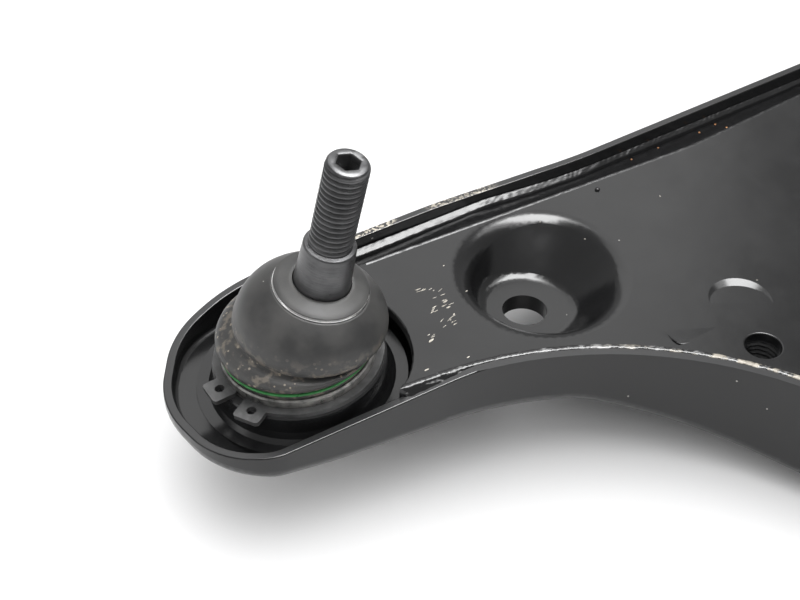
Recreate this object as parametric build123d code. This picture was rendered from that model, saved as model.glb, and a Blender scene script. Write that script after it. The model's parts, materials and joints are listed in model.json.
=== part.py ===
from build123d import *
import os
from math import radians, sin, cos

# Front lower control arm: two pressed steel shells, a pressed-in ball joint and two rubber bushes.
# Millimetres. Origin at the centre of the front bush bore. +X inboard, +Y forward, +Z up.
# The ball joint sits at the outboard end with its stud pointing up.

# ---- sheet steel shells -------------------------------------------------------------------
sheet = 3.0                    # lower shell wall thickness
plate_sheet = 3.1              # upper shell thickness
web_z = 20.0                   # top face of the upper shell
rim_gap = 1.6                  # weld gap between the wall and the upper shell, rear and inner edges
press_radius = 5.0             # outside radius between floor and wall of the lower shell
edge_ease = 0.5                # rounding of the cut edges that stay bare of weld

# Corners of the lower shell seen from above, each with the radius that rounds it.
outline_corners = [
    ((-361.0, -2.6), 60.0),    # outboard end of the straight front edge
    ((-229.4, -0.2), 250.0),   # slight bend of the front edge
    ((-47.0, 28.0), 40.0),     # front edge turns along the front eye
    ((-10.0, 28.0), 0.0),
    ((-10.0, -28.0), 0.0),
    ((-60.0, -160.0), 200.0),  # hollow of the inner edge
    ((-20.0, -296.0), 0.0),    # inboard side of the rear eye
    ((-89.5, -321.2), 0.0),    # outboard side of the rear eye
    ((-252.1, -80.3), 120.0),  # deep throat behind the ball joint
    ((-378.6, -84.4), 16.0),   # round end about the ball joint
    ((-395.4, -75.5), 28.0),
    ((-402.0, -44.6), 36.0),
    ((-386.9, -16.3), 40.0),
]

# Front edge of the upper shell, with the bend radius of its middle. It leaves a wide gutter
# along the front wall.
gutter_edge = [((-420.0, -27.8), 0.0), ((-175.4, -5.2), 150.0), ((-45.0, 20.9), 0.0), ((10.0, 20.9), 0.0)]

# Side profile, outboard to inboard: underside and rim of the lower shell (x, z, radius).
underside_corners = [
    (-430.0, 6.0, 0.0),
    (-357.0, -0.8, 80.0),
    (-271.0, -1.8, 45.0),
    (-212.0, -19.0, 60.0),
    (-190.0, -20.0, 0.0),
    (20.0, -20.0, 0.0),
]
rim_corners = [
    (20.0, 20.0, 0.0),
    (-55.0, 20.0, 60.0),
    (-95.0, 25.3, 60.0),
    (-240.0, 25.0, 120.0),
    (-283.0, 22.8, 200.0),
    (-430.0, 6.6, 0.0),
]
front_wall_from_y = -30.0      # only the wall forward of this line stands above the web
level_rim_from_x = -312.0
bare_rim_from_y = -12.0        # the rim is bare of weld forward of this line,
bare_rim_to_x = -52.0          # and outboard of this one
profile_slack = 2.0            # how far the rounded profiles stray from their straight lines
shell_crease = 60.0            # profile creases cross the arm, and are longer than this

# ---- ball joint seat ----------------------------------------------------------------------
joint_x = -356.0
joint_y = -50.4
joint_lean = 6.3               # degrees, joint axis leaning outboard at the top
cutout_radius = 36.5           # arc that ends the upper shell around the ball joint
bare_plate_from_y = -21.0      # the upper shell's edges forward of this line have no weld on top
cutout_tip_x = -338.0          # the arc's horns are cut off here
seat_radius = 34.5
seat_top = -11.0               # heights along the joint axis, measured from the web
collar_radius = 28.2
collar_top = -1.5
collar_root_radius = 1.4
collar_flare_height = 2.0
seat_bore = 25.0
seat_skirt = 12.0              # depth of the wall that joins the seat to the floor
seat_inset = 0.5               # the seat stays this far inside the tray's outer faces

# ---- dimple, seat for a bolt through both shells ------------------------------------------
dimple_x = -269.7
dimple_y = -47.6
dimple_floor_radius = 17.5
dimple_floor_z = 4.9
dimple_hole_radius = 7.8
dimple_mouth = (-262.6, -47.6)
dimple_mouth_half = (26.0, 31.2)
dimple_mouth_turn = -28.0
dimple_mouth_rounding = 8.0
dimple_floor_rounding = 5.0
dimple_pad_radius = 21.5
dimple_pad_skirt = 8.0
dimple_cup_growth = 3.6        # how much larger the cup's mouth is outside than inside

# ---- threaded fixing ----------------------------------------------------------------------
fixing_x = -217.2
fixing_y = -110.2
fixing_clear_radius = 6.1
fixing_minor_radius = 5.1      # M12 x 1.75
fixing_nut_across = 19.0
fixing_nut_height = 10.0

# Two shallow sunk corners near the fixing. Each is deepest at its pivot and runs out to nothing
# across the web. The hook has the corners of its plan with the radius of each, and both have a
# downhill heading, the slope of the floor, and the depth at the pivot.
hook_corners = [((-242.8, -98.6), 2.0), ((-226.0, -96.2), 0.0), ((-245.6, -88.0), 0.0)]
hook_pivot = (-241.8, -97.8)
hook_downhill = 252.0
hook_slope = 4.0
hook_depth = 0.45
hook_wall_taper = 35.0         # degrees between the walls and the vertical
crescent_centre = (-211.3, -89.8)
crescent_radius = 10.6
crescent_downhill = 66.0
crescent_slope = 5.5
crescent_depth = 1.0
crescent_wall_taper = 65.0

# ---- ball joint ---------------------------------------------------------------------------
ball_height = -9.0             # ball centre along the joint axis, from the web
ball_radius = 13.45
cup_radius = 13.5
rest_tilt = 14.9               # degrees between the stud and the joint axis as it stands
rest_heading = -37.5           # degrees, direction the stud leans to, from +X
flange_radius = 30.5
flange_bottom = -18.5
flange_top = -14.0
body_bottom = -26.5
body_bottom_radius = 22.5
body_radius = 25.0
ring_seat_radius = 23.4
ring_seat_top = 0.2
boot_seat_bottom = 3.0
boot_seat_top = 7.6
boot_seat_radius = 22.8
mouth_lip_radius = 23.8
mouth_top = 9.0
mouth_top_radius = 20.0
race_outer_radius = 17.4
race_top = -2.6
race_mouth_radius = 12.3
race_bottom = -23.6
race_drain_radius = 5.0        # open below the ball
cover_radius = 19.6
cover_bottom = -25.4
cover_lip_radius = 17.8

neck_radius = 7.0
neck_top = 13.5                # distances along the stud, from the ball centre
taper_large_radius = 9.25
taper_start = 38.0
taper_small_radius = 8.3
shoulder_rounding = 0.6
taper_end = 58.3
thread_start = 59.6
thread_radius = 7.0            # M14 x 2, drawn at its major diameter
stud_end = 91.7
stud_chamfer = 1.4
socket_across = 6.6
socket_depth = 7.5

circlip_thickness = 1.6
circlip_outer_radius = 27.6
circlip_gap = 6.5
circlip_lug_reach = 32.6
circlip_lug_half = 4.6
circlip_lug_hole = 1.6
circlip_lug_rounding = 1.3
circlip_hole_at = 28.5         # distance of each lug hole from the joint axis
circlip_gap_heading = 200.0    # degrees from +X
circlip_lug_spread = 15.0      # degrees from the gap to each lug

slip = 0.05                    # radial clearance between pieces that turn or tilt on each other
boot_ring_height = 5.4
boot_ring_radius = 24.4
boot_ring_wire = 0.7
top_ring_inner = 13.8
top_ring_outer = 15.3
top_ring_bottom = 39.4
top_ring_top = 40.7
boot_top = 43.0
boot_cone_foot = 40.2          # where the cone of the boot's top starts
boot_roof = 1.2                # rubber under the top ring

# Boot stations: share of the rest tilt, distance from the ball centre, outside radius, wall.
boot_stations = [
    (0.0, 12.05, 24.3, 2.0),
    (0.0, 15.6, 24.3, 2.0),
    (0.10, 18.4, 26.0, 3.2),
    (0.35, 21.6, 23.4, 2.2),
    (0.60, 26.6, 24.7, 2.0),
    (0.82, 32.6, 23.2, 2.0),
    (0.95, 37.2, 18.8, 2.0),
    (1.0, 40.7, 15.3, 2.0),
]

# ---- bushes -------------------------------------------------------------------------------
eye_radius = 25.0
eye_bore = 21.5
eye_half = 28.0
front_sleeve_half = 27.0
front_rubber_outer = 19.9
front_rubber_dish = 4.0        # depth of the hollow in each end of the rubber
front_core_radius = 11.0
front_core_half = 32.0
front_bore_radius = 6.1

rear_x = -58.0
rear_y = -300.0
rear_eye_radius = 35.0
rear_eye_bore = 31.0
rear_eye_half = 22.0
rear_rubber_outer = 29.4
rear_sleeve_set_in = 0.5       # how far the sleeve and the rubber stop short of the eye's ends
rear_rubber_set_in = 1.5
rear_void_middle = 21.7        # two curved openings through the rubber, on the X sides
rear_void_width = 8.5
rear_void_half_angle = 38.0
rear_core_radius = 13.0
rear_core_half = 27.0
rear_bore_radius = 7.1

# ---- welds --------------------------------------------------------------------------------
front_bead_bottom = 5.0        # depths of the front bead below the web: its underside,
front_bead_drop = 2.6          # the half beside the upper shell
front_bead_heap_drop = 0.8     # and the half heaped against the wall
front_bead_heap = 5.2          # width of that half
rear_welds_before_y = -60.0    # the rear and inner beads lie behind this line
inner_weld_from_x = -120.0     # and the inner one is inboard of this one
smallest_bead = 60.0           # volume, larger than the slivers between outlines
eye_weld_radius = 3.2
eye_weld_set_back = 0.8        # the bead's axis, outboard of where the web meets the eye
eye_weld_end = 4.0             # the bead stops short of each end of the eye
ring_weld_height = 1.8
ring_weld_width = 3.2
ring_weld_from = 12.0          # degrees, where the bead round the rear eye starts
ring_weld_sweep = 194.0

far = 600.0                    # longer than the arm
tall = 100.0                   # higher and deeper than any part of the arm


# Frames ------------------------------------------------------------------------------------
joint_frame = Location((joint_x, joint_y, web_z), (0, -joint_lean, 0))


def stud_frame(tilt_share, distance):
    """Frame on the stud side: the joint axis tilted about the ball centre by a share of the rest tilt."""
    at_ball = joint_frame * Location((0, 0, ball_height))
    turned = at_ball * Location((0, 0, 0), (0, 0, rest_heading))
    tilted = turned * Location((0, 0, 0), (0, rest_tilt * tilt_share, 0))
    return tilted * Location((0, 0, distance))


# Sketch helpers ----------------------------------------------------------------------------
def rounded_polygon(corners):
    """Face bounded by straight lines, with each listed corner rounded by its own radius."""
    face = make_face(Polyline([point for point, radius in corners], close=True))
    for point, radius in corners:
        if radius > 0:
            corner = face.vertices().sort_by_distance((point[0], point[1], 0))[0]
            face = fillet([corner], radius)
    return face


def outline(inset):
    """Outline of the lower shell, moved inwards by the given distance."""
    face = rounded_polygon(outline_corners)
    if inset > 0:
        face = offset(face, amount=-inset, kind=Kind.INTERSECTION)
    return face


def revolved(points):
    """Solid of revolution about Z from (radius, height) points."""
    return revolve(make_face(Polyline(points, close=True)).rotate(Axis.X, 90), Axis.Z)


def tube(outer_radius, inner_radius, bottom, top):
    """Plain ring about Z."""
    return revolved([
        (inner_radius, bottom), (outer_radius, bottom), (outer_radius, top), (inner_radius, top),
    ])


def disc(radius, bottom, top):
    """Plain cylinder about Z between two heights."""
    return Pos(0, 0, (bottom + top) / 2) * Cylinder(radius, top - bottom)


# Lower shell -------------------------------------------------------------------------------
def side_body(floor_lift, rim_lift):
    """Everything between the underside and the rim line, extruded across the arm."""
    lower = [((x, z + floor_lift), radius) for x, z, radius in underside_corners]
    upper = [((x, z + rim_lift), radius) for x, z, radius in rim_corners]
    face = rounded_polygon(lower + upper).rotate(Axis.X, 90)
    return Pos(0, far / 2, 0) * extrude(face, amount=far, dir=(0, -1, 0))


def column(face):
    """The plan face carried far above and below the arm."""
    return extrude(face, amount=tall, both=True)


def tray_blank(inset, floor_lift, rim_lift, rounding):
    """Solid block of the tray's outside or inside, with its lower edge rounded."""
    block = column(outline(inset)) & side_body(floor_lift, rim_lift)
    block = block.solids().sort_by(SortBy.VOLUME)[-1]
    wall_line = [e for e in block.edges() if is_underside_edge(e, floor_lift)]
    return fillet(wall_line, rounding)


def profile_height(corners, x):
    """Height of a side profile at x, along its straight lines."""
    for (x0, z0, r0), (x1, z1, r1) in zip(corners, corners[1:]):
        if min(x0, x1) <= x <= max(x0, x1):
            return z0 + (z1 - z0) * (x - x0) / (x1 - x0)
    return corners[-1][1]


def is_underside_edge(edge, floor_lift):
    """True for edges between the wall and the underside."""
    start, middle, end = (edge @ share for share in (0, 0.5, 1))
    on_floor = all(
        abs(point.Z - profile_height(underside_corners, point.X) - floor_lift) < profile_slack
        for point in (start, middle, end))
    crease = abs(start.X - end.X) < 0.01 and abs(start.Y - end.Y) > shell_crease
    return on_floor and not crease


def is_bare_rim_edge(edge):
    """True for the long rim edges along the front wall and round the ball joint."""
    middle = edge.center()
    bare = middle.Y > bare_rim_from_y or middle.X < level_rim_from_x + profile_slack
    at_rim = abs(middle.Z - profile_height(rim_corners, middle.X)) < edge_ease
    return bare and at_rim and middle.X < bare_rim_to_x and edge.length > sheet + edge_ease


def make_lower_shell():
    outside = tray_blank(0, 0, 0, press_radius)
    inside = tray_blank(sheet, sheet, tall / 2, press_radius - sheet)
    shell = outside - inside
    level = make_face(Polyline(
        (level_rim_from_x, -far), (far, -far), (far, front_wall_from_y),
        (level_rim_from_x, front_wall_from_y), close=True))
    shell -= Pos(0, 0, web_z) * extrude(level, amount=tall)
    # Raised seat and collar for the ball joint, square to the leaning joint axis.
    seat = joint_frame * disc(seat_radius, seat_top - seat_skirt, seat_top)
    shell += seat & tray_blank(seat_inset, seat_inset, 0, press_radius - seat_inset)
    shell -= joint_frame * disc(seat_radius - sheet, -tall, seat_top - sheet)
    shell += joint_frame * collar_with_root()
    shell -= joint_frame * disc(seat_bore, -tall, tall)
    # Flat pad that the dimple of the upper shell rests on.
    pad_top = dimple_floor_z - plate_sheet
    shell += Pos(dimple_x, dimple_y, 0) * disc(dimple_pad_radius, pad_top - dimple_pad_skirt, pad_top)
    shell -= Pos(dimple_x, dimple_y, 0) * disc(dimple_pad_radius - sheet, -tall, pad_top - sheet)
    shell -= Pos(dimple_x, dimple_y, 0) * disc(dimple_hole_radius, -tall, tall)
    shell = cut_for_eyes(shell)
    return fillet([e for e in shell.edges() if is_bare_rim_edge(e)], edge_ease)


def collar_with_root():
    """Upturned collar about the joint bore, flared where it leaves the seat."""
    root = seat_top + collar_root_radius
    return revolved([
        (seat_bore - 1, seat_top - sheet), (collar_radius + 1, seat_top - sheet),
        (collar_radius + 1 + collar_root_radius, seat_top), (collar_radius + 1, root),
        (collar_radius, root + collar_flare_height), (collar_radius, collar_top - edge_ease),
        (collar_radius - edge_ease, collar_top), (seat_bore - 1, collar_top),
    ])


def cut_for_eyes(shell):
    """Ends the sheet on the surfaces of the two bush eyes."""
    front = Cylinder(eye_radius, far, rotation=(90, 0, 0))
    rear = Pos(rear_x, rear_y, 0) * disc(rear_eye_radius, -tall, tall)
    shell = shell - front - rear
    return shell.solids().sort_by(SortBy.VOLUME)[-1]


# Upper shell -------------------------------------------------------------------------------
def plate_face():
    """Plan of the upper shell: inside the walls, and short of the front wall by the gutter."""
    behind = [((10.0, -far), 0.0), ((-420.0, -far), 0.0)]
    return outline(sheet + rim_gap) & rounded_polygon(gutter_edge + behind)


def beyond_joint():
    """Space outboard of the upper shell's end, with the round cut-out about the ball joint."""
    outboard = Pos(cutout_tip_x - far / 2, 0, 0) * Box(far, 2 * far, far)
    return outboard + Pos(joint_x, joint_y, 0) * disc(cutout_radius, -tall, tall)


def sunk_wedge(face, pivot, downhill, slope, depth, wall_taper):
    """Prism whose tilted floor is the given depth below the web at the pivot and rises from there."""
    deep_end = Location((pivot[0], pivot[1], web_z - depth), (0, 0, downhill))
    tilted = deep_end * Location((0, 0, 0), (0, slope, 0))
    flat = Location((0, 0, 0), (0, 0, -downhill)) * Pos(-pivot[0], -pivot[1], 0) * face
    return tilted * extrude(flat, amount=2 * depth, dir=(0, 0, 1), taper=-wall_taper)


def sunk_corners():
    hook = sunk_wedge(rounded_polygon(hook_corners), hook_pivot, hook_downhill, hook_slope,
                      hook_depth, hook_wall_taper)
    rim = (crescent_centre[0] + crescent_radius * cos(radians(crescent_downhill)),
           crescent_centre[1] + crescent_radius * sin(radians(crescent_downhill)))
    circle = Pos(crescent_centre[0], crescent_centre[1], 0) * Circle(crescent_radius)
    crescent = sunk_wedge(circle.face(), rim, crescent_downhill, crescent_slope,
                          crescent_depth, crescent_wall_taper)
    return hook, crescent


def dimple_cone(floor_radius, floor_z, half_x, half_y, mouth_z):
    floor = Pos(dimple_x, dimple_y, floor_z) * Circle(floor_radius)
    mouth = Location((dimple_mouth[0], dimple_mouth[1], mouth_z), (0, 0, dimple_mouth_turn))
    return loft([floor.face(), (mouth * Ellipse(half_x, half_y)).face()])


def make_upper_shell():
    plate = Pos(0, 0, web_z - plate_sheet) * extrude(plate_face(), amount=plate_sheet)
    plate -= beyond_joint()
    half_x, half_y = dimple_mouth_half
    cup = dimple_cone(dimple_floor_radius + sheet, dimple_floor_z - plate_sheet,
                      half_x + dimple_cup_growth, half_y + dimple_cup_growth, web_z)
    hollow = dimple_cone(dimple_floor_radius, dimple_floor_z, half_x, half_y, web_z)
    plate = plate + cup - hollow
    mouth_edge = [e for e in plate.edges()
                  if abs(e.center().Z - web_z) < 0.01 and e.geom_type == GeomType.ELLIPSE]
    plate = fillet(mouth_edge, dimple_mouth_rounding)
    floor_edge = [e for e in plate.edges().filter_by(GeomType.CIRCLE)
                  if abs(e.center().Z - dimple_floor_z) < 0.01]
    plate = fillet(floor_edge, dimple_floor_rounding)
    for sunk in sunk_corners():
        plate -= sunk
    plate -= Pos(dimple_x, dimple_y, 0) * disc(dimple_hole_radius, -tall, tall)
    plate -= Pos(fixing_x, fixing_y, 0) * disc(fixing_clear_radius, 0, tall)
    plate = cut_for_eyes(plate)
    return fillet([e for e in plate.edges() if is_bare_plate_edge(e)], edge_ease)


def is_bare_plate_edge(edge):
    """True for the upper edges along the gutter, round the ball joint's cut-out and the fixing hole."""
    middle = edge.center()
    on_top = max(abs(point.Z - web_z) for point in (edge @ 0, edge @ 1, middle)) < 0.01
    if not on_top or edge.geom_type not in (GeomType.LINE, GeomType.CIRCLE):
        return False
    along_gutter = middle.Y > bare_plate_from_y and middle.X < -eye_radius - edge_ease
    centres = ((joint_x, joint_y), (fixing_x, fixing_y))
    if edge.geom_type == GeomType.CIRCLE:
        return along_gutter or any((edge.arc_center - Vector(x, y, web_z)).length < 0.1 for x, y in centres)
    return along_gutter and edge.length > eye_radius


# Welds -------------------------------------------------------------------------------------
def seam_strip(outer_inset, face, bottom, top):
    """Band between an inset outline and a plan face, ending clear of the ball joint and both eyes."""
    ring = outline(outer_inset) - face
    strip = Pos(0, 0, bottom) * extrude(ring, amount=top - bottom)
    strip = strip - beyond_joint() - Cylinder(eye_radius + slip, far, rotation=(90, 0, 0))
    return strip - Pos(rear_x, rear_y, 0) * disc(rear_eye_radius + slip, -tall, tall)


def forward_piece(strip):
    """The piece of a weld band that runs along the front edge."""
    return strip.solids().sort_by(SortBy.VOLUME)[-1]


def make_front_seam():
    """Wide bead in the gutter, low at the upper shell, heaped against the wall and under its rim."""
    bottom = web_z - front_bead_bottom
    foot = forward_piece(seam_strip(sheet, plate_face(), bottom, web_z - front_bead_drop))
    heap_face = outline(sheet + front_bead_heap)
    heap = forward_piece(seam_strip(sheet, heap_face, bottom, web_z - front_bead_heap_drop))
    ahead = Pos(0, front_wall_from_y + far / 2, 0) * Box(2 * far, far, far)
    bead = (foot + (heap & ahead & foot_column())) & side_body(0, -edge_ease)
    bead = bead - make_front_eye_weld(1) - make_edge_seam(True)
    return bead.solids().sort_by(SortBy.VOLUME)[-1]


def foot_column():
    """Plan area of the front gutter, tall enough to trim the heaped half of the bead."""
    return forward_piece(seam_strip(sheet, plate_face(), 0, 2 * web_z))


def make_edge_seam(inboard):
    """Flush bead along the rear edge, or along the inner edge between the bushes."""
    strips = seam_strip(sheet, plate_face(), web_z - plate_sheet, web_z).solids()
    rearward = [piece for piece in strips
                if piece.volume > smallest_bead and piece.center().Y < rear_welds_before_y]
    return [piece for piece in rearward if (piece.center().X > inner_weld_from_x) == inboard][0]


def make_front_eye_weld(side):
    """Bead along the front eye, on top (+1) or underneath (-1)."""
    reach = (eye_radius ** 2 - web_z ** 2) ** 0.5
    length = 2 * (eye_half - eye_weld_end)
    bead = Pos(-reach - eye_weld_set_back, 0, 0) * Cylinder(eye_weld_radius, length, rotation=(90, 0, 0))
    bead &= Pos(0, 0, far / 2) * Box(far, far, far)
    bead = Pos(0, 0, web_z) * bead - Cylinder(eye_radius, far, rotation=(90, 0, 0))
    if side < 0:
        bead = bead.mirror(Plane.XY)
    return bead.solids().sort_by(SortBy.VOLUME)[-1]


def make_rear_eye_weld(side):
    """Bead round the side of the rear eye that meets the shells, on top (+1) or underneath (-1)."""
    face = make_face(Polyline(
        (rear_eye_radius, 0), (rear_eye_radius + ring_weld_width, 0), (rear_eye_radius, ring_weld_height),
        close=True)).rotate(Axis.X, 90)
    bead = Rot(0, 0, ring_weld_from) * revolve(face, Axis.Z, ring_weld_sweep)
    bead = Pos(0, 0, web_z) * bead
    if side < 0:
        bead = bead.mirror(Plane.XY)
    return Pos(rear_x, rear_y, 0) * bead


# Fixing nut --------------------------------------------------------------------------------
def make_weld_nut():
    body = extrude(RegularPolygon(fixing_nut_across / 2, 6, major_radius=False), amount=-fixing_nut_height)
    body -= Cylinder(fixing_minor_radius, tall)
    return Pos(fixing_x, fixing_y, web_z - plate_sheet) * body


# Ball joint --------------------------------------------------------------------------------
def make_housing():
    profile = [
        (cover_lip_radius, body_bottom), (body_bottom_radius, body_bottom),
        (body_bottom_radius, flange_bottom), (flange_radius, flange_bottom),
        (flange_radius, flange_top), (body_radius, flange_top),
        (body_radius, collar_top), (ring_seat_radius, collar_top),
        (ring_seat_radius, ring_seat_top), (body_radius, ring_seat_top),
        (body_radius, boot_seat_bottom - edge_ease), (body_radius - edge_ease, boot_seat_bottom),
        (boot_seat_radius, boot_seat_bottom), (boot_seat_radius, boot_seat_top),
        (mouth_lip_radius, boot_seat_top), (mouth_lip_radius, mouth_top - edge_ease),
        (mouth_lip_radius - edge_ease, mouth_top), (mouth_top_radius, mouth_top),
        (race_mouth_radius, race_top), (race_outer_radius, race_top),
        (race_outer_radius, race_bottom), (cover_radius, race_bottom),
        (cover_radius, cover_bottom), (cover_lip_radius, cover_bottom),
    ]
    return joint_frame * revolved(profile)


def make_race():
    blank = tube(race_outer_radius, race_drain_radius, race_bottom, race_top)
    return joint_frame * (blank - Pos(0, 0, ball_height) * Sphere(cup_radius))


def make_cover():
    return joint_frame * disc(cover_radius, cover_bottom, race_bottom)


def make_ball_stud():
    profile = [
        (0, 0), (neck_radius, 0), (neck_radius, neck_top), (taper_large_radius, taper_start),
        (taper_small_radius, taper_end - shoulder_rounding),
        (taper_small_radius - shoulder_rounding, taper_end), (thread_radius, thread_start),
        (thread_radius, stud_end - stud_chamfer), (thread_radius - stud_chamfer, stud_end),
        (0, stud_end),
    ]
    stud = revolved(profile) + Sphere(ball_radius)
    socket = extrude(RegularPolygon(socket_across / 2, 6, major_radius=False), amount=socket_depth)
    stud -= Pos(0, 0, stud_end - socket_depth) * socket
    return stud_frame(1.0, 0) * stud


def boot_loft(hollow):
    """Outside of the boot, or its hollow, as a loft through the boot's stations."""
    faces = []
    for share, distance, radius, wall in boot_stations:
        section = stud_frame(share, distance) * Circle(radius - wall * hollow)
        faces.append(section.face())
    return loft(faces)


def make_boot():
    on_stud = stud_frame(1.0, 0)
    cone = revolved([
        (0, boot_cone_foot), (top_ring_inner - slip, boot_cone_foot),
        (top_ring_inner - slip, top_ring_top), (taper_large_radius + slip, boot_top), (0, boot_top),
    ])
    groove = tube(top_ring_outer + boot_cone_foot, top_ring_inner - slip, top_ring_bottom - slip, far)
    stud_hole = revolved([
        (0, 0), (taper_large_radius + slip, 0), (taper_large_radius + slip, taper_start),
        (taper_small_radius + slip, taper_end), (0, taper_end),
    ])
    roof = disc(far, top_ring_bottom - boot_roof, far)
    mouth = revolved([
        (0, 0), (boot_seat_radius + slip, 0), (boot_seat_radius + slip, boot_seat_top - slip),
        (mouth_lip_radius + slip, boot_seat_top - slip), (mouth_lip_radius + slip, mouth_top + slip),
        (0, mouth_top + slip),
    ])
    boot = boot_loft(0) - on_stud * groove + on_stud * cone
    boot = boot - (boot_loft(1) - on_stud * roof) - joint_frame * mouth
    boot = boot - on_stud * stud_hole - joint_frame * boot_ring_solid(slip)
    return boot.solids().sort_by(SortBy.VOLUME)[-1]


def boot_ring_solid(extra):
    return Pos(0, 0, boot_ring_height) * Torus(boot_ring_radius, boot_ring_wire + extra)


def make_top_ring():
    return stud_frame(1.0, 0) * tube(top_ring_outer, top_ring_inner, top_ring_bottom, top_ring_top)


def make_circlip():
    middle = collar_top + circlip_thickness / 2
    ring = tube(circlip_outer_radius, ring_seat_radius + slip, collar_top, collar_top + circlip_thickness)
    ring -= Rot(0, 0, circlip_gap_heading) * Pos(far / 2, 0, 0) * Box(far, circlip_gap, far)
    for side in (-1, 1):
        turn = Rot(0, 0, circlip_gap_heading + side * circlip_lug_spread)
        reach = circlip_lug_reach - ring_seat_radius - 1
        lug = Pos(circlip_lug_reach - reach / 2, 0, middle) * Box(
            reach, 2 * circlip_lug_half, circlip_thickness)
        lug = fillet(lug.edges().filter_by(Axis.Z), circlip_lug_rounding)
        hole = Pos(circlip_hole_at, 0, 0) * disc(circlip_lug_hole, -tall, tall)
        ring = ring + turn * lug - turn * hole
    return joint_frame * ring


# Bushes ------------------------------------------------------------------------------------
lay_along_y = Rot(-90, 0, 0)


def make_front_eye():
    return lay_along_y * tube(eye_radius, eye_bore, -eye_half, eye_half)


def make_front_sleeve():
    return lay_along_y * tube(eye_bore, front_rubber_outer, -front_sleeve_half, front_sleeve_half)


def make_front_rubber():
    half = front_sleeve_half
    dish = front_rubber_dish
    middle = (front_core_radius + front_rubber_outer) / 2
    inner = front_core_radius + slip
    return lay_along_y * revolved([
        (inner, -half), (middle, dish - half), (front_rubber_outer, -half + edge_ease),
        (front_rubber_outer, half - edge_ease), (middle, half - dish), (inner, half),
    ])


def make_front_core():
    core = tube(front_core_radius, front_bore_radius, -front_core_half, front_core_half)
    return lay_along_y * core


def at_rear(shape):
    return Pos(rear_x, rear_y, 0) * shape


def make_rear_eye():
    return at_rear(tube(rear_eye_radius, rear_eye_bore, -rear_eye_half, rear_eye_half))


def make_rear_sleeve():
    half = rear_eye_half - rear_sleeve_set_in
    return at_rear(tube(rear_eye_bore, rear_rubber_outer, -half, half))


def make_rear_rubber():
    half = rear_eye_half - rear_rubber_set_in
    rubber = tube(rear_rubber_outer, rear_core_radius + slip, -half, half)
    for heading in (0, 180):
        arc = CenterArc((0, 0), rear_void_middle, heading - rear_void_half_angle, 2 * rear_void_half_angle)
        void = extrude(SlotArc(arc, rear_void_width), amount=tall, both=True)
        rubber -= void
    return at_rear(rubber)


def make_rear_core():
    return at_rear(tube(rear_core_radius, rear_bore_radius, -rear_core_half, rear_core_half))


# Export ------------------------------------------------------------------------------------
os.makedirs("parts", exist_ok=True)


def keep(name, shape):
    export_step(shape, "parts/" + name + ".step")


keep("lower_shell", make_lower_shell())
keep("upper_shell", make_upper_shell())
keep("front_seam", make_front_seam())
keep("rear_seam", make_edge_seam(False))
keep("inner_seam", make_edge_seam(True))
keep("front_eye_weld_top", make_front_eye_weld(1))
keep("front_eye_weld_under", make_front_eye_weld(-1))
keep("rear_eye_weld_top", make_rear_eye_weld(1))
keep("rear_eye_weld_under", make_rear_eye_weld(-1))
keep("weld_nut", make_weld_nut())
keep("front_eye", make_front_eye())
keep("rear_eye", make_rear_eye())
keep("joint_housing", make_housing())
keep("joint_race", make_race())
keep("joint_cover", make_cover())
keep("ball_stud", make_ball_stud())
keep("dust_boot", make_boot())
keep("boot_top_ring", make_top_ring())
keep("boot_lower_ring", joint_frame * boot_ring_solid(0))
keep("circlip", make_circlip())
keep("front_sleeve", make_front_sleeve())
keep("front_rubber", make_front_rubber())
keep("front_core", make_front_core())
keep("rear_sleeve", make_rear_sleeve())
keep("rear_rubber", make_rear_rubber())
keep("rear_core", make_rear_core())
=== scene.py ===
import json
import random
from math import cos, degrees, pi, radians, sin, sqrt

import bmesh
import bpy
import numpy as np
from mathutils import Matrix, Vector, noise
from mathutils.bvhtree import BVHTree


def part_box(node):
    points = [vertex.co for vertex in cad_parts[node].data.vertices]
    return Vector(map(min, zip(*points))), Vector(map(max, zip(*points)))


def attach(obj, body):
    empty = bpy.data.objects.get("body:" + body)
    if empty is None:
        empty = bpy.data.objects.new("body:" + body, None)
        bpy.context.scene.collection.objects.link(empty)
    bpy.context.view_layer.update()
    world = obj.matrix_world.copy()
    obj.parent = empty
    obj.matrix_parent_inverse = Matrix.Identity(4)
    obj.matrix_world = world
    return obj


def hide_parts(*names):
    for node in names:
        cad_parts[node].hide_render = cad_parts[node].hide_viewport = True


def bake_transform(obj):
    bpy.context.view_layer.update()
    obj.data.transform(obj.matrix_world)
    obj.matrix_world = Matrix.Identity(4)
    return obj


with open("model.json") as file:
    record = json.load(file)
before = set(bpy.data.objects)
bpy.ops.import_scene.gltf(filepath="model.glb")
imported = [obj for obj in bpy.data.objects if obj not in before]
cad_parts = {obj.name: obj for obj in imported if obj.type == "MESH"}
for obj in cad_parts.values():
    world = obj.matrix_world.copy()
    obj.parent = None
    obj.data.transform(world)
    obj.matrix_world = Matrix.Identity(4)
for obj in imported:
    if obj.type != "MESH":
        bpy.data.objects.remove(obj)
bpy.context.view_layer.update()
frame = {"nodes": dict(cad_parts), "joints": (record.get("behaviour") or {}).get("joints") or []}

# The looks of a stamped front lower control arm. Lengths below are in millimetres unless a name
# ends in _M or a comment says metres, and MM turns them into Blender's metres.
MM = 0.001
NODES = frame["nodes"]
JOINTS = {joint["name"]: joint for joint in frame["joints"]}

# ---- what the arm's frame gives ------------------------------------------------------------
BALL = Vector(JOINTS["stud_spin"]["pos_m"])
STUD_AXIS = Vector(JOINTS["stud_spin"]["axis"]).normalized()
WEB_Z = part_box("upper_shell")[1].z / MM
FLOOR_Z_M = min(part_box(name)[0].z for name in NODES)

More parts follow.
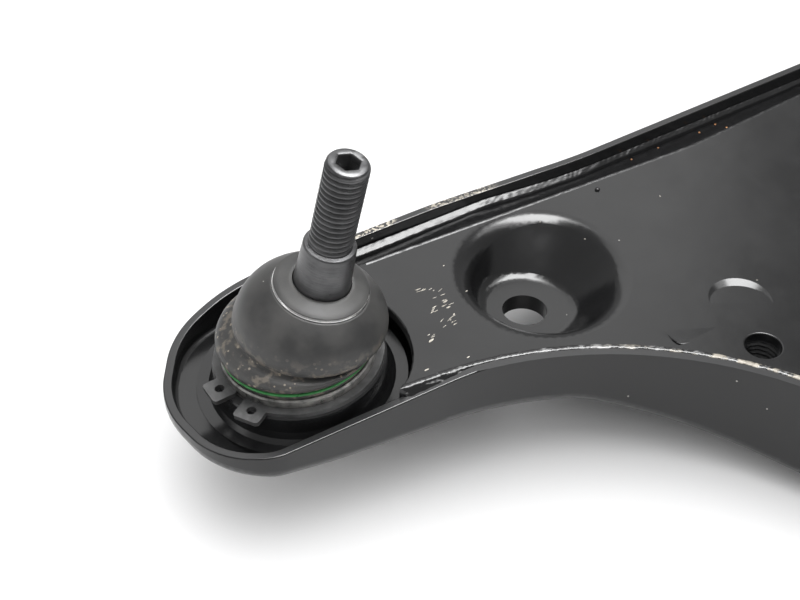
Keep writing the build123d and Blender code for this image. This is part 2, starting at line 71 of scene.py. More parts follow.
# ---- ball joint ----------------------------------------------------------------------------
JOINT_LEAN = 6.3               # degrees, joint axis leaning outboard at the top
REST_HEADING = -37.5           # degrees, direction the stud leans to in the joint's frame
JOINT_MATRIX = Matrix.Translation(BALL) @ Matrix.Rotation(radians(-JOINT_LEAN), 4, "Y")
JOINT_AXIS = (JOINT_MATRIX.to_3x3() @ Vector((0, 0, 1))).normalized()
REST_TILT = degrees(JOINT_AXIS.angle(STUD_AXIS))


def stud_matrix(tilt_share, distance):
    """Frame on the stud side of the joint, tilted by a share of the rest tilt, in metres."""
    turned = JOINT_MATRIX @ Matrix.Rotation(radians(REST_HEADING), 4, "Z")
    tilted = turned @ Matrix.Rotation(radians(REST_TILT * tilt_share), 4, "Y")
    return tilted @ Matrix.Translation((0, 0, distance * MM))


# ---- mesh helpers --------------------------------------------------------------------------
ROUNDING_STEPS = 5
LONGEST_ROUNDING = 0.49        # share of a profile's side that one rounding may take


def mesh_object(name, points, faces, material, sharp_angle=40):
    """Object from points in metres, shaded smooth but for edges sharper than the angle."""
    mesh = bpy.data.meshes.new(name)
    mesh.from_pydata([tuple(p) for p in points], [], faces)
    mesh.update()
    mesh.shade_smooth()
    mesh.set_sharp_from_angle(angle=radians(sharp_angle))
    obj = bpy.data.objects.new(name, mesh)
    bpy.context.scene.collection.objects.link(obj)
    obj.data.materials.append(material)
    return obj


def ring_faces(start_a, start_b, count):
    """Quads between two closed rings of vertices."""
    faces = []
    for i in range(count):
        j = (i + 1) % count
        faces.append((start_a + i, start_a + j, start_b + j, start_b + i))
    return faces


def rounded_profile(corners):
    """(r, z) points of a profile whose corners (r, z, radius) are rounded by curves."""
    points = []
    count = len(corners)
    for i, (r, z, radius) in enumerate(corners):
        here = Vector((r, z))
        before = Vector(corners[i - 1][:2]) if i > 0 else None
        after = Vector(corners[i + 1][:2]) if i < count - 1 else None
        if radius <= 0 or before is None or after is None:
            points.append((r, z))
            continue
        a = (before - here).normalized()
        b = (after - here).normalized()
        half = a.angle(b) / 2
        longest = LONGEST_ROUNDING * min((before - here).length, (after - here).length)
        reach = min(radius / np.tan(half), longest)
        p, q = here + a * reach, here + b * reach
        for k in range(ROUNDING_STEPS + 1):
            t = k / ROUNDING_STEPS
            point = p * (1 - t) ** 2 + here * 2 * t * (1 - t) + q * t ** 2
            points.append((point.x, point.y))
    return points


def lathe(name, profile, matrix, material, segments=144):
    """Ring with the given closed (r, z) section in millimetres, about the matrix's Z axis."""
    points, faces = [], []
    for r, z in profile:
        for i in range(segments):
            angle = 2 * pi * i / segments
            points.append(matrix @ Vector((r * cos(angle) * MM, r * sin(angle) * MM, z * MM)))
    rows = len(profile)
    for k in range(rows):
        faces += ring_faces(k * segments, ((k + 1) % rows) * segments, segments)
    obj = mesh_object(name, points, faces, material)
    face_outwards(obj)
    return obj


def face_outwards(obj):
    """Makes the normals of a closed mesh point outwards."""
    work = bmesh.new()
    work.from_mesh(obj.data)
    bmesh.ops.recalc_face_normals(work, faces=work.faces)
    work.to_mesh(obj.data)
    work.free()


def tree_of(mesh):
    """Search tree of a mesh's faces, in metres."""
    corners = [v.co.copy() for v in mesh.vertices]
    return BVHTree.FromPolygons(corners, [tuple(p.vertices) for p in mesh.polygons])


# ---- material helpers ----------------------------------------------------------------------
NOISE_ROUGHNESS = 0.55


class Graph:
    """A node material with short calls for the nodes used here."""

    def __init__(self, name):
        self.material = bpy.data.materials.new(name)
        self.material.use_nodes = True
        self.tree = self.material.node_tree
        self.tree.nodes.clear()
        self.shader = self.node("ShaderNodeBsdfPrincipled")
        output = self.node("ShaderNodeOutputMaterial")
        self.link(self.shader.outputs["BSDF"], output.inputs["Surface"])
        self.coords = self.node("ShaderNodeTexCoord").outputs["Object"]
        self.geometry = self.node("ShaderNodeNewGeometry")

    def node(self, kind, **settings):
        """New shader node with the given settings."""
        node = self.tree.nodes.new(kind)
        for key, value in settings.items():
            setattr(node, key, value)
        return node

    def link(self, a, b):
        """Joins an output to an input."""
        self.tree.links.new(a, b)

    def put(self, socket, value):
        """Links an output to the socket, or sets the socket's own value."""
        if hasattr(value, "is_output"):
            self.link(value, socket)
        else:
            socket.default_value = value

    def scaled(self, scale, turn=0.0):
        """Coordinates stretched by (x, y, z) factors, and then turned about Z by degrees."""
        mapping = self.node("ShaderNodeMapping")
        self.link(self.coords, mapping.inputs["Vector"])
        mapping.inputs["Rotation"].default_value = (0.0, 0.0, radians(turn))
        mapping.inputs["Scale"].default_value = scale
        return mapping.outputs["Vector"]

    def in_frame(self, matrix, scale):
        """Coordinates in a tilted frame, stretched there by (x, y, z) factors."""
        mapping = self.node("ShaderNodeMapping", vector_type="TEXTURE")
        self.link(self.coords, mapping.inputs["Vector"])
        mapping.inputs["Rotation"].default_value = tuple(matrix.to_euler())
        mapping.inputs["Scale"].default_value = tuple(1.0 / factor for factor in scale)
        return mapping.outputs["Vector"]

    def noise(self, scale, detail=3.0, vector=None):
        """Soft noise from 0 to 1, with about the given number of lumps per metre."""
        node = self.node("ShaderNodeTexNoise")
        self.link(vector or self.coords, node.inputs["Vector"])
        node.inputs["Scale"].default_value = scale
        node.inputs["Detail"].default_value = detail
        node.inputs["Roughness"].default_value = NOISE_ROUGHNESS
        return node.outputs["Fac"]

    def math(self, operation, a, b=None, c=None):
        """Result of one calculation on numbers or sockets."""
        node = self.node("ShaderNodeMath", operation=operation)
        for socket, value in zip(node.inputs, (a, b, c)):
            if value is not None:
                self.put(socket, value)
        return node.outputs[0]

    def ramp(self, value, low, high, out_low=0.0, out_high=1.0):
        """The value mapped from low..high to the given outputs, with soft ends."""
        node = self.node("ShaderNodeMapRange", interpolation_type="SMOOTHSTEP")
        for socket, item in zip(node.inputs, (value, low, high, out_low, out_high)):
            self.put(socket, item)
        return node.outputs[0]

    def mix(self, share, a, b):
        """Colour mix of a and b; each is a colour or a socket."""
        node = self.node("ShaderNodeMix", data_type="RGBA")
        self.put(node.inputs[0], share)
        for socket, value in ((node.inputs[6], a), (node.inputs[7], b)):
            plain = isinstance(value, tuple) and len(value) == 3
            self.put(socket, (*value, 1.0) if plain else value)
        return node.outputs[2]

    def specks(self, scale, share, size):
        """Mask of sparse small dots: one cell in so many holds a dot of the given relative size."""
        cells = self.node("ShaderNodeTexVoronoi", feature="F1")
        self.link(self.coords, cells.inputs["Vector"])
        cells.inputs["Scale"].default_value = scale
        split = self.node("ShaderNodeSeparateColor")
        self.link(cells.outputs["Color"], split.inputs["Color"])
        chosen = self.math("GREATER_THAN", split.outputs[0], 1.0 - share)
        limit = self.math("MULTIPLY", split.outputs[1], size)
        near = self.math("LESS_THAN", cells.outputs["Distance"], limit)
        return self.math("MULTIPLY", chosen, near)

    def axis(self, which, of="position"):
        """X, Y or Z of the point, or of its surface normal."""
        split = self.node("ShaderNodeSeparateXYZ")
        source = self.coords if of == "position" else self.geometry.outputs["Normal"]
        self.link(source, split.inputs[0])
        return split.outputs["XYZ".index(which)]

    def bump(self, height, distance, strength=1.0, normal=None):
        """Normal bent by a height, whose full range stands for the distance in metres."""
        node = self.node("ShaderNodeBump")
        node.inputs["Strength"].default_value = strength
        node.inputs["Distance"].default_value = distance
        self.link(height, node.inputs["Height"])
        if normal is not None:
            self.link(normal, node.inputs["Normal"])
        return node.outputs["Normal"]

    def finish(self, colour, roughness, normal=None, metallic=0.0, **constants):
        """Sets the shader's inputs and returns the material."""
        self.put(self.shader.inputs["Base Color"], colour)
        self.put(self.shader.inputs["Roughness"], roughness)
        self.put(self.shader.inputs["Metallic"], metallic)
        if normal is not None:
            self.link(normal, self.shader.inputs["Normal"])
        for key, value in constants.items():
            self.shader.inputs[key.replace("_", " ")].default_value = value
        return self.material


COAT_BLACK = (0.0070, 0.0071, 0.0075)
COAT_GREY = (0.0105, 0.0106, 0.0110)
CHIP_CREAM = (0.60, 0.55, 0.46)
COAT_DUST = (0.45, 0.44, 0.41)
RIM_WORN = (0.03, 0.03, 0.031)
SCUFF_GREY = (0.30, 0.30, 0.30)
FLAKE_BROWN = (0.20, 0.17, 0.13)
FLAKE_CREAM = (0.62, 0.57, 0.48)
BOOT_DUST = (0.30, 0.255, 0.20)
BOOT_LINT = (0.6, 0.58, 0.54)
# The lower shell counts as rim above a line that climbs inboard and then runs level (metres).
RIM_LINE_SLOPE, RIM_LINE_AT_ORIGIN, RIM_LINE_TOP = 0.110, 0.0520, 0.0186
# Stretch of the front rim that is chipped: X where chips fade in and out, and Y from which they show.
CHIPS_FROM_X = (-0.322, -0.312)
CHIPS_TO_X = (-0.255, -0.268)
CHIPS_FROM_Y = (-0.030, -0.016)
# Height above the ball where dirt on the boot fades out and where it is full (metres).
BOOT_DIRT_HEIGHTS = (0.030, 0.019)


def coat_surface(graph):
    """Colour, roughness and normal of black dip coat: faint orange peel, dust and cloudy gloss."""
    cloud = graph.noise(22.0, 4.0)
    colour = graph.mix(graph.ramp(cloud, 0.35, 0.7), COAT_BLACK, COAT_GREY)
    dust = graph.specks(260.0, 0.03, 0.13)
    colour = graph.mix(graph.math("MULTIPLY", dust, 0.6), colour, COAT_DUST)
    roughness = graph.ramp(graph.noise(60.0, 5.0), 0.3, 0.75, 0.17, 0.24)
    peel = graph.noise(900.0, 2.0)
    wave = graph.noise(70.0, 2.0)
    normal = graph.bump(wave, 0.00016, 0.4, graph.bump(peel, 0.00002, 0.35))
    return colour, roughness, normal


def make_coat():
    """The plain black coat."""
    graph = Graph("coat")
    colour, roughness, normal = coat_surface(graph)
    return graph.finish(colour, roughness, normal, Specular_IOR_Level=0.5)


def make_shell_coat():
    """The lower shell's coat, chipped to cream along part of the front rim."""
    graph = Graph("shell_coat")
    colour, roughness, normal = coat_surface(graph)
    up = graph.ramp(graph.axis("Z", "normal"), 0.75, 0.95)
    x, y, z = graph.axis("X"), graph.axis("Y"), graph.axis("Z")
    rim_line = graph.math("MULTIPLY_ADD", x, RIM_LINE_SLOPE, RIM_LINE_AT_ORIGIN)
    rim_line = graph.math("MINIMUM", rim_line, RIM_LINE_TOP)
    on_rim = graph.math("MULTIPLY", up, graph.math("GREATER_THAN", z, rim_line))
    colour = graph.mix(graph.math("MULTIPLY", on_rim, 0.5), colour, RIM_WORN)
    patch = graph.noise(38.0, 2.0)
    grit = graph.noise(900.0, 3.0)
    forward = graph.ramp(y, *CHIPS_FROM_Y)
    chips = graph.math("MULTIPLY", graph.ramp(grit, 0.47, 0.56), graph.ramp(patch, 0.47, 0.56))
    chips = graph.math("MULTIPLY", chips, on_rim)
    stretch = graph.math("MULTIPLY", graph.ramp(x, *CHIPS_FROM_X), graph.ramp(x, *CHIPS_TO_X))
    chips = graph.math("MULTIPLY", graph.math("MULTIPLY", chips, forward), stretch)
    colour = graph.mix(chips, colour, CHIP_CREAM)
    roughness = graph.math("MAXIMUM", roughness, graph.math("MULTIPLY", on_rim, 0.30))
    return graph.finish(colour, roughness, normal, Specular_IOR_Level=0.5)


def make_bead_coat():
    """Coat over weld: glossier, pooled in the ripples."""
    graph = Graph("bead_coat")
    cloud = graph.noise(120.0, 4.0)
    colour = graph.mix(cloud, (0.008, 0.008, 0.0085), (0.014, 0.014, 0.0145))
    roughness = graph.ramp(graph.noise(300.0, 3.0), 0.3, 0.7, 0.16, 0.26)
    lines = graph.noise(1100.0, 3.0, vector=graph.scaled((0.16, 1.0, 1.0), turn=14.0))
    normal = graph.bump(lines, 0.00022, 0.42, graph.bump(graph.noise(260.0, 2.0), 0.0003, 0.12))
    return graph.finish(colour, roughness, normal, Specular_IOR_Level=0.5)


def make_flecked_coat():
    """Coat over the flush seams, scuffed grey, with cream flakes towards the inboard end."""
    graph = Graph("flecked_coat")
    colour, roughness, normal = coat_surface(graph)
    x = graph.axis("X")
    patch = graph.noise(70.0, 3.0)
    grit = graph.noise(900.0, 4.0, vector=graph.scaled((0.35, 1.0, 1.0), turn=-20.0))
    scuffed = graph.math("MULTIPLY_ADD", patch, 0.45, graph.math("MULTIPLY", grit, 0.55))
    worn = graph.ramp(scuffed, graph.ramp(x, -0.330, -0.270, 0.56, 0.47), 0.64)
    colour = graph.mix(worn, colour, SCUFF_GREY)
    flakes = graph.math("MULTIPLY", graph.ramp(graph.noise(150.0, 4.0), 0.45, 0.56),
                        graph.ramp(x, -0.275, -0.235))
    colour = graph.mix(graph.math("MULTIPLY", flakes, 0.85), colour,
                       graph.mix(grit, FLAKE_BROWN, FLAKE_CREAM))
    roughness = graph.math("MAXIMUM", roughness, graph.math("MULTIPLY", flakes, 0.5))
    normal = graph.bump(grit, 0.00015, 0.6, normal)
    return graph.finish(colour, roughness, normal, Specular_IOR_Level=0.5)


def make_metal(name, dark, light, roughness, metallic, scale=500.0, depth=0.00003, turned=False):
    """Steel or chips with blotches and a fine bump. Turned steel has grain round the stud."""
    graph = Graph(name)
    frame_of_grain = graph.in_frame(stud_matrix(1.0, 0.0), (0.3, 0.3, 5.0)) if turned else None
    fine = graph.noise(scale, 5.0, vector=frame_of_grain)
    blotch = graph.noise(140.0, 4.0)
    share = graph.math("MULTIPLY_ADD", blotch, 0.6, graph.math("MULTIPLY", fine, 0.4))
    colour = graph.mix(graph.ramp(share, 0.3, 0.7), dark, light)
    rough = graph.ramp(fine, 0.3, 0.7, roughness - 0.07, roughness + 0.09)
    normal = graph.bump(fine, depth, 0.6)
    return graph.finish(colour, rough, normal, metallic=metallic)


def make_rubber(name, dark, light, roughness, dusty=False):
    """Satin rubber; the dusty one has tan specks low down where dirt gathers."""
    graph = Graph(name)
    cloud = graph.noise(90.0, 5.0)
    colour = graph.mix(graph.ramp(cloud, 0.3, 0.7), dark, light)
    fine = graph.noise(1500.0, 3.0)
    if dusty:
        height = graph.math("SUBTRACT", graph.axis("Z"), BALL.z)
        low = graph.ramp(height, *BOOT_DIRT_HEIGHTS)
        smear = graph.ramp(graph.noise(260.0, 4.0), 0.50, 0.62)
        dots = graph.specks(700.0, 0.35, 0.42)
        dirt = graph.math("MAXIMUM", graph.math("MULTIPLY", smear, 0.45), dots)
        share = graph.math("MULTIPLY", low, dirt)
        colour = graph.mix(graph.math("MULTIPLY", share, 0.75), colour, BOOT_DUST)
        lint = graph.specks(420.0, 0.05, 0.15)
        colour = graph.mix(graph.math("MULTIPLY", lint, 0.7), colour, BOOT_LINT)
        wrinkles = graph.noise(210.0, 3.0, vector=graph.scaled((1.0, 1.0, 7.0)))
        wrinkles = graph.math("MULTIPLY", wrinkles, low)
    else:
        wrinkles = cloud
    rough = graph.ramp(cloud, 0.3, 0.7, roughness - 0.05, roughness + 0.07)
    normal = graph.bump(fine, 0.00003, 0.5, graph.bump(wrinkles, 0.0004, 0.45))
    return graph.finish(colour, rough, normal, Specular_IOR_Level=0.5)


COAT = make_coat()
SHELL_COAT = make_shell_coat()
BEAD_COAT = make_bead_coat()
FLECKED_COAT = make_flecked_coat()
STUD_STEEL = make_metal("stud_steel", (0.060, 0.060, 0.062), (0.12, 0.12, 0.122), 0.34, 0.75,
                        depth=0.00006, turned=True)
PHOSPHATE = make_metal("phosphate", (0.055, 0.055, 0.056), (0.10, 0.10, 0.10), 0.48, 0.5)
WORN_STEEL = make_metal("worn_steel", (0.10, 0.10, 0.10), (0.42, 0.41, 0.39), 0.34, 0.85)
BRIGHT_STEEL = make_metal("bright_steel", (0.62, 0.62, 0.62), (0.80, 0.79, 0.77), 0.18, 1.0)
ZINC = make_metal("zinc", (0.42, 0.42, 0.42), (0.56, 0.555, 0.54), 0.32, 1.0)
GREEN = make_metal("green_ring", (0.018, 0.13, 0.030), (0.035, 0.22, 0.055), 0.32, 0.2)
RACE_PLASTIC = make_rubber("race_plastic", (0.62, 0.61, 0.58), (0.70, 0.69, 0.66), 0.45)
BOOT_RUBBER = make_rubber("boot_rubber", (0.026, 0.026, 0.026), (0.048, 0.047, 0.045), 0.46,
                          dusty=True)
BUSH_RUBBER = make_rubber("bush_rubber", (0.016, 0.016, 0.016), (0.028, 0.028, 0.028), 0.55)
CREAM = make_metal("cream_chip", (0.42, 0.38, 0.31), (0.72, 0.68, 0.60), 0.5, 0.0, scale=900.0)
RUST_SPECK = make_metal("rust_speck", (0.32, 0.12, 0.03), (0.60, 0.27, 0.08), 0.6, 0.0, scale=900.0)


def dress(node, material):
    """Gives a CAD node one material."""
    slots = NODES[node].data.materials
    slots.clear()
    slots.append(material)


for name, finish in {
    "lower_shell": SHELL_COAT, "upper_shell": COAT, "front_eye": COAT, "rear_eye": COAT,
    "weld_nut": COAT, "joint_housing": WORN_STEEL, "joint_race": RACE_PLASTIC, "joint_cover": ZINC,
    "circlip": PHOSPHATE, "boot_lower_ring": GREEN, "boot_top_ring": BRIGHT_STEEL,
    "front_sleeve": ZINC, "rear_sleeve": ZINC, "front_core": ZINC, "rear_core": ZINC,
    "front_rubber": BUSH_RUBBER, "rear_rubber": BUSH_RUBBER,
    "front_eye_weld_top": BEAD_COAT, "front_eye_weld_under": BEAD_COAT,
    "rear_eye_weld_top": BEAD_COAT, "rear_eye_weld_under": BEAD_COAT,
    "front_seam": BEAD_COAT, "rear_seam": FLECKED_COAT, "inner_seam": FLECKED_COAT,
    "ball_stud": STUD_STEEL, "dust_boot": BOOT_RUBBER,
}.items():
    dress(name, finish)


# ---- ball stud with its real thread --------------------------------------------------------
NECK_R, TAPER_R, SHOULDER_R, THREAD_R = 7.0, 9.25, 8.3, 7.0
THREAD_PITCH, THREAD_DEPTH = 2.0, 1.08
SHOULDER_Z, THREAD_Z, STUD_END = 58.3, 59.7, 91.7
SOCKET_ACROSS, SOCKET_DEPTH = 6.6, 7.5
SOCKET_CONE = 1.8              # depth of the cone below the socket's flats
BALL_R = 13.45
BALL_ROWS, BALL_TOP_ANGLE = 16, 0.58    # rows of the ball's mesh, radians from its pole to the neck
GROOVE_HALF, GROOVE_POWER = 0.40, 0.9   # shape of the groove, as a share of the pitch
THREAD_RUN_IN = 1.2            # length over which the groove deepens at its start
CHAMFER_LENGTH, CHAMFER_TIP_R, CHAMFER_REACH = 2.2, 5.35, 1.5
THREAD_ROWS = 12               # rows of the mesh in one pitch


def thread_radius(z, angle):
    """Radius of the thread's surface, fading into the shank below and the end's chamfer above."""
    phase = (z / THREAD_PITCH - angle / (2 * pi)) % 1.0
    groove = max(0.0, 1.0 - abs(phase - 0.5) / GROOVE_HALF) ** GROOVE_POWER
    fade_in = min(max((z - THREAD_Z) / THREAD_RUN_IN, 0.0), 1.0)
    cut = THREAD_R - THREAD_DEPTH * groove * fade_in
    end = STUD_END - z
    chamfer = THREAD_R - 0.15
    if end <= CHAMFER_LENGTH:
        round_off = sqrt(max(0.0, 1 - (1 - end / CHAMFER_LENGTH) ** 2))
        chamfer = CHAMFER_TIP_R + CHAMFER_REACH * round_off
    return min(cut, chamfer)


def hexagon_radius(angle, across):
    """Distance from the centre to the side of a hexagon of the given width across flats."""
    return across / 2 / cos((angle + pi / 6) % (pi / 3) - pi / 6)


def make_stud():
    """Ball, neck, taper, threaded end and hexagon socket, in one closed mesh."""
    segments = 96
    rows = []
    for k in range(BALL_ROWS + 1):
        polar = pi - k * (pi - BALL_TOP_ANGLE) / BALL_ROWS
        rows.append((BALL_R * sin(polar), BALL_R * cos(polar)))
    rows += rounded_profile([
        (NECK_R + 0.2, 11.3, 0), (NECK_R, 13.5, 1.0), (TAPER_R, 38.0, 1.5),
        (SHOULDER_R, SHOULDER_Z - 0.2, 0.7), (SHOULDER_R - 0.35, SHOULDER_Z + 0.35, 0.2),
        (THREAD_R - 0.35, SHOULDER_Z + 0.7, 0.3), (THREAD_R - 0.1, THREAD_Z, 0),
    ])
    points, rings = [], []

    def add_ring(radius_at, z):
        rings.append(len(points))
        for i in range(segments):
            angle = 2 * pi * i / segments
            r = radius_at(angle)
            points.append(Vector((r * cos(angle), r * sin(angle), z)))

    for r, z in rows[1:]:
        add_ring(lambda angle, r=r: r, z)
    step = THREAD_PITCH / THREAD_ROWS
    count = int((STUD_END - 0.05 - THREAD_Z) / step)
    for k in range(1, count + 1):
        z = THREAD_Z + k * step
        add_ring(lambda angle, z=z: thread_radius(z, angle), z)

    for across, z in ((SOCKET_ACROSS + 0.7, STUD_END), (SOCKET_ACROSS + 0.3, STUD_END - 0.10),
                      (SOCKET_ACROSS, STUD_END - 0.6), (SOCKET_ACROSS, STUD_END - SOCKET_DEPTH),
                      (SOCKET_ACROSS * 0.5, STUD_END - SOCKET_DEPTH - 1.0)):
        add_ring(lambda angle, across=across: hexagon_radius(angle, across), z)
    faces = []
    for a, b in zip(rings, rings[1:]):
        faces += ring_faces(a, b, segments)
    bottom, top = len(points), len(points) + 1
    points += [Vector((0, 0, -BALL_R)), Vector((0, 0, STUD_END - SOCKET_DEPTH - SOCKET_CONE))]
    faces += [(bottom, rings[0] + (i + 1) % segments, rings[0] + i) for i in range(segments)]
    faces += [(rings[-1] + i, rings[-1] + (i + 1) % segments, top) for i in range(segments)]
    matrix = stud_matrix(1.0, 0.0)
    obj = mesh_object("threaded_stud", [matrix @ (p * MM) for p in points], faces, STUD_STEEL, 50)
    face_outwards(obj)
    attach(obj, "stud")
    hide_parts("ball_stud")


# ---- dust boot -----------------------------------------------------------------------------
# Outside of the boot from its foot on the housing to its top: distance from the ball, radius.
BOOT_OUTSIDE = [
    (12.1, 24.0), (13.0, 24.35), (14.6, 24.4), (15.4, 24.7), (16.6, 25.8), (18.2, 26.15), (19.5, 25.7),
    (20.4, 24.5), (21.1, 22.9), (21.6, 22.3), (22.1, 22.6), (22.8, 23.5), (24.2, 24.0), (26.4, 24.1),
    (29.0, 23.7), (32.0, 22.5),
    (34.6, 20.7), (36.8, 18.7), (38.6, 16.7), (39.5, 15.6),
]
# Share of the stud's tilt that the boot has taken up at each distance.
BOOT_TILT = [
    (12.0, 0.0), (15.4, 0.0), (18.2, 0.12), (19.8, 0.28), (21.5, 0.52), (23.2, 0.74), (26.0, 0.88),
    (29.0, 0.94), (32.0, 0.98), (35.0, 1.0),
]
BOOT_NECK_R = 13.9             # bottom of the groove that the upper ring sits in
BOOT_SPLIT_D = 32.0            # distance at which the skirt ends and the dome starts
SPLIT_INSIDE = 3               # the point of the boot's inside that lies there
ROWS_PER_POINT = 4             # rows of the mesh between two points of the outside


def boot_profile():
    """Closed profile (distance, radius) up the outside, over the top and down the inside."""
    d = np.array([p[0] for p in BOOT_OUTSIDE])
    r = np.array([p[1] for p in BOOT_OUTSIDE])
    fine = np.linspace(0, len(d) - 1, (len(d) - 1) * ROWS_PER_POINT + 1)
    outside = [catmull(d, t) for t in fine], [catmull(r, t) for t in fine]
    outside = list(zip(*outside))
    top = [(39.6, BOOT_NECK_R), (40.82, BOOT_NECK_R), (40.86, 14.8), (40.98, 15.0), (41.15, 14.8),
           (41.7, 13.2), (42.3, 11.6), (42.75, 10.5), (42.95, 9.9), (42.9, 9.35), (42.2, 9.12),
           (39.0, 9.32)]
    inside = [
        (38.2, 12.0), (36.8, 15.0), (34.0, 18.9), (BOOT_SPLIT_D - 0.6, 21.0), (29.0, 22.3),
        (25.0, 22.6), (21.9, 21.45), (20.4, 22.4), (19.5, 23.3), (18.4, 23.9), (17.4, 23.9),
        (16.7, 22.95), (12.1, 22.95),
    ]
    return outside, top, inside


def catmull(values, t):
    """Smooth curve through the values at whole t."""
    i = min(int(t), len(values) - 2)
    f = t - i
    p0, p1 = values[max(i - 1, 0)], values[i]
    p2, p3 = values[i + 1], values[min(i + 2, len(values) - 1)]
    return 0.5 * (2 * p1 + (p2 - p0) * f + (2 * p0 - 5 * p1 + 4 * p2 - p3) * f ** 2
                  + (3 * p1 - p0 - 3 * p2 + p3) * f ** 3)


def tilt_share(distance):
    """Share of the stud's tilt that the boot has taken up at the distance."""
    return float(np.interp(distance, [p[0] for p in BOOT_TILT], [p[1] for p in BOOT_TILT]))


def boot_ring(distance, radius, segments):
    """Points of one ring of the boot, in metres."""
    matrix = stud_matrix(tilt_share(distance), distance)
    ring = []
    for i in range(segments):
        angle = 2 * pi * i / segments
        ring.append(matrix @ Vector((radius * cos(angle) * MM, radius * sin(angle) * MM, 0)))
    return ring


def make_boot():
    """The boot in two closed pieces that meet at a ring."""
    segments = 144
    outside, top, inside = boot_profile()
    split = min(range(len(outside)), key=lambda k: abs(outside[k][0] - BOOT_SPLIT_D))
    lower = outside[:split + 1] + inside[SPLIT_INSIDE:]
    upper = outside[split:] + top + inside[:SPLIT_INSIDE + 1]
    whole_rings = [boot_ring(d, r, segments) for d, r in outside]
    pieces = []
    for name, profile in (("boot_skirt", lower), ("boot_dome", upper)):
        points, faces = [], []
        for d, r in profile:
            points += boot_ring(d, r, segments)
        count = len(profile)
        for k in range(count):
            faces += ring_faces(k * segments, ((k + 1) % count) * segments, segments)
        obj = mesh_object(name, points, faces, BOOT_RUBBER, 50)
        face_outwards(obj)
        pieces.append(obj)
    match_seam_normals(pieces[0], pieces[1], whole_rings, split, segments)
    skirt, dome = pieces
    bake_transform(skirt)
    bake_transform(dome)
    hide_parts("dust_boot")


def match_seam_normals(skirt, dome, rings, split, segments):
    """Gives both pieces the same normals along the seam ring, so that it doesn't show."""
    normals = []
    for i in range(segments):
        along = rings[split + 1][i] - rings[split - 1][i]
        around = rings[split][(i + 1) % segments] - rings[split][i - 1]
        normals.append(around.cross(along).normalized())
    seam_start = {skirt: split * segments, dome: 0}
    for obj, start in seam_start.items():
        mesh = obj.data
        wanted = [Vector(n.vector) for n in mesh.corner_normals]
        for polygon in mesh.polygons:
            rows = [v // segments for v in polygon.vertices]
            outer = max(rows) <= split if obj is skirt else max(rows) <= 1
            seam_row = start // segments
            if not (outer and seam_row in rows):
                continue
            for loop_index, vertex in zip(polygon.loop_indices, polygon.vertices):
                if vertex // segments == seam_row:
                    wanted[loop_index] = normals[vertex - start]
        mesh.normals_split_custom_set(wanted)


# ---- rings of the ball joint ---------------------------------------------------------------
WIRE_RING_R, WIRE_RING_D, WIRE_R = 24.5, 14.4, 0.55


def make_rings():
    """Upper ring in the boot's groove, and the green wire ring round the boot's foot."""
    stud = stud_matrix(1.0, 0.0)
    clamp = lathe("stud_clamp_ring", rounded_profile([
        (13.95, 39.45, 0), (15.1, 39.45, 0.45), (15.3, 40.1, 0.45), (14.9, 40.75, 0.4),
        (13.95, 40.7, 0),
    ]), stud, BRIGHT_STEEL)
    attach(clamp, "boot_collar")
    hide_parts("boot_top_ring")
    turns = [2 * pi * k / 12 for k in range(12)]
    wire = [(WIRE_RING_R + WIRE_R * cos(a), WIRE_RING_D + WIRE_R * sin(a)) for a in turns]
    green = lathe("foot_clamp_ring", wire, JOINT_MATRIX, GREEN, 160)
    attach(green, "arm")
    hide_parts("boot_lower_ring")


# ---- welds ---------------------------------------------------------------------------------
def ribbon(name, stations, section, material, body="arm", replaces=None, sharp_angle=60):
    """Bead swept along stations of (near point, far point).

    The section gives (share of the way across, height in millimetres) at a distance travelled.
    """
    points, faces = [], []
    rows = len(section(0.0))
    travelled = 0.0
    for k, (near, far) in enumerate(stations):
        if k:
            last_near, last_far = stations[k - 1]
            travelled += ((near + far) / 2 - (last_near + last_far) / 2).length / MM
        for share, height in section(travelled):
            point = near.lerp(far, share)
            points.append(point + Vector((0, 0, height * MM)))
    for k in range(len(stations) - 1):
        for j in range(rows):
            a, b = k * rows + j, k * rows + (j + 1) % rows
            faces.append((a, b, b + rows, a + rows))
    last = (len(stations) - 1) * rows
    faces.append(tuple(range(rows)))
    faces.append(tuple(last + j for j in reversed(range(rows))))
    obj = mesh_object(name, points, faces, material, sharp_angle)
    face_outwards(obj)
    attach(obj, body)
    if replaces:
        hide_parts(replaces)
    return obj


def wobble(*place):
    """Smooth unevenness from -1 to 1, the same on every run."""
    return noise.noise(Vector(place))


# Section of the gutter bead: distance from the wall, height from the bead's top at the wall.
GUTTER_BEAD = [(0.0, 0.0), (0.6, -0.26), (1.2, -0.55), (1.8, -0.86), (2.4, -1.16), (2.75, -1.40)]
VALLEY_FROM_WALL = 3.1         # the lowest line of the gutter
VALLEY_RISE = 0.19             # slope up from there to the plate
# Burr along the upper shell's edge: distance back from the edge, height above the web.
EDGE_BURR = [(1.25, -0.02), (1.0, 0.10), (0.7, 0.24), (0.4, 0.30), (0.1, 0.22), (-0.05, -0.10)]
# The front rim is level inboard of a bend (metres), and falls outboard of it.
RIM_LEVEL, RIM_BEND, RIM_SLOPE = 25.0, -0.2630, 0.1102
BEAD_BELOW_RIM = 4.7           # top of the gutter bead below the rim
BEAD_THICKNESS = 4.2
STATION_STEP_M, STATION_STEP = 0.00035, 0.35    # from one section of the gutter bead to the next
BEAD_OVERLAP_M = 0.0002        # how far a bead reaches into the shells beside it
WIDEST_GUTTER_M = 0.02
# The bead's bright slope narrows over a stretch that starts here (metres).
NARROWS_FROM, NARROWS_OVER, NARROWS_BY = -0.30, 0.10, 0.4


def rim_height(x):
    """Height of the front wall's rim in millimetres, at x in metres."""
    return min(RIM_LEVEL, RIM_LEVEL + (x - RIM_BEND) / MM * RIM_SLOPE)


